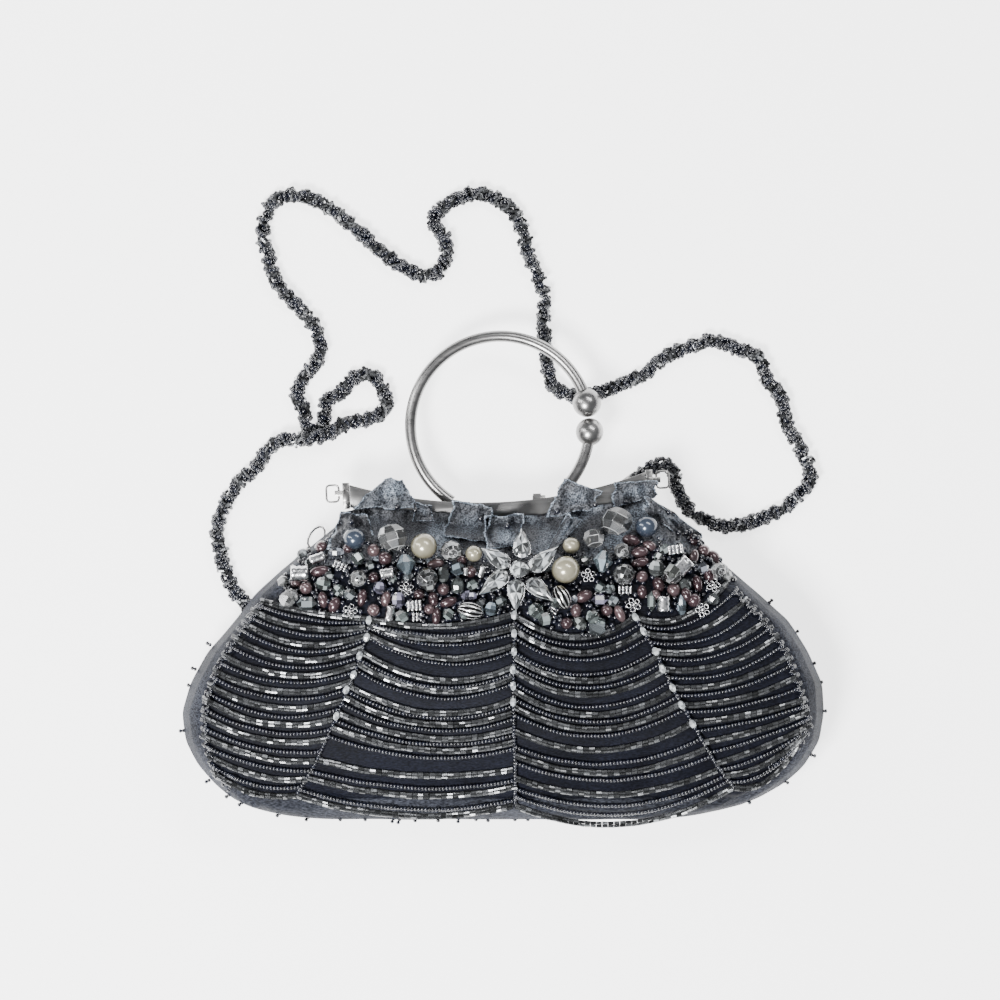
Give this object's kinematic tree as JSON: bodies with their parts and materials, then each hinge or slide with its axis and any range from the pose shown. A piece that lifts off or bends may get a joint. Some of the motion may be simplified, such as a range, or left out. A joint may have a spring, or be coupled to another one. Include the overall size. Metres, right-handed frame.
{
  "type": "beaded clutch",
  "caption": "Framed evening clutch with hanging bead strands, a jewelled top, a split ring handle and a beaded strap.",
  "frame": {"origin": "on the flat of the bag's back, in the middle of its width", "axes": "+Z out of the bag's front, +Y towards the frame and the ring handle, +X to the right seen from the front"},
  "size_m": [0.27, 0.2662, 0.0588],
  "materials": {
    "satin_front": "dark slate blue satin under the beads",
    "satin_border": "grey blue satin with a soft sheen",
    "gunmetal": "warm grey gunmetal, brushed",
    "strand_beads": "near-black round beads and smoky tube beads",
    "crystal": "clear cut glass",
    "crystal_smoky": "smoky cut glass",
    "field_beads": "mauve pearls, crystals and silver beads",
    "pearl_cream": "cream pearl lustre",
    "pearl_blue": "blue grey pearl lustre",
    "silver": "worn antique silver",
    "ribbon": "crushed metallic blue grey ribbon",
    "strap_beads": "dark gunmetal bead strands"
  },
  "bodies": {
    "root": {"front_panel": "satin_front", "back_shell": "satin_border", "frame_front": "gunmetal", "frame_back": "gunmetal", "hinge_cap_left": "gunmetal", "hinge_cap_right": "gunmetal", "strap_loop_left": "gunmetal", "strap_loop_right": "gunmetal", "handle_long_arc": "gunmetal", "handle_short_arc": "gunmetal", "strap_hook_left": "gunmetal", "strap_hook_right": "gunmetal", "swag_column_1": "strand_beads", "swag_column_2": "strand_beads", "swag_column_3": "strand_beads", "swag_column_4": "strand_beads", "seam_left_crystals": "crystal", "seam_middle_crystals": "crystal", "seam_right_crystals": "crystal", "crystal_large_left": "crystal", "crystal_large_right": "crystal", "crystal_round_left": "crystal", "crystal_round_right": "crystal", "crystal_outer_left": "crystal", "crystal_outer_right": "crystal", "crystal_pale_left": "crystal", "crystal_pale_right": "crystal", "crystal_far_left": "crystal", "crystal_far_right": "crystal", "crystal_flower": "crystal", "crystal_smoky_left": "crystal_smoky", "crystal_smoky_right": "crystal_smoky", "crystal_band_right": "crystal_smoky", "bead_field_left": "field_beads", "bead_field_right": "field_beads", "pearl_cream_left": "pearl_cream", "pearl_cream_middle": "pearl_cream", "pearl_cream_small": "pearl_cream", "pearl_cream_right": "pearl_cream", "pearl_blue_left": "pearl_blue", "pearl_blue_right": "pearl_blue", "oval_fluted_left": "silver", "oval_fluted_right": "silver", "bar_left": "silver", "bar_right": "silver", "petal_left_peak": "ribbon", "petal_left_small": "ribbon", "petal_left_broad": "ribbon", "petal_middle": "ribbon", "petal_right_star": "ribbon", "petal_right_cone": "ribbon", "petal_right_square": "ribbon", "petal_right_shoulder": "ribbon", "petal_left_shoulder": "ribbon", "strap": "strap_beads"}
  },
  "joints": []
}
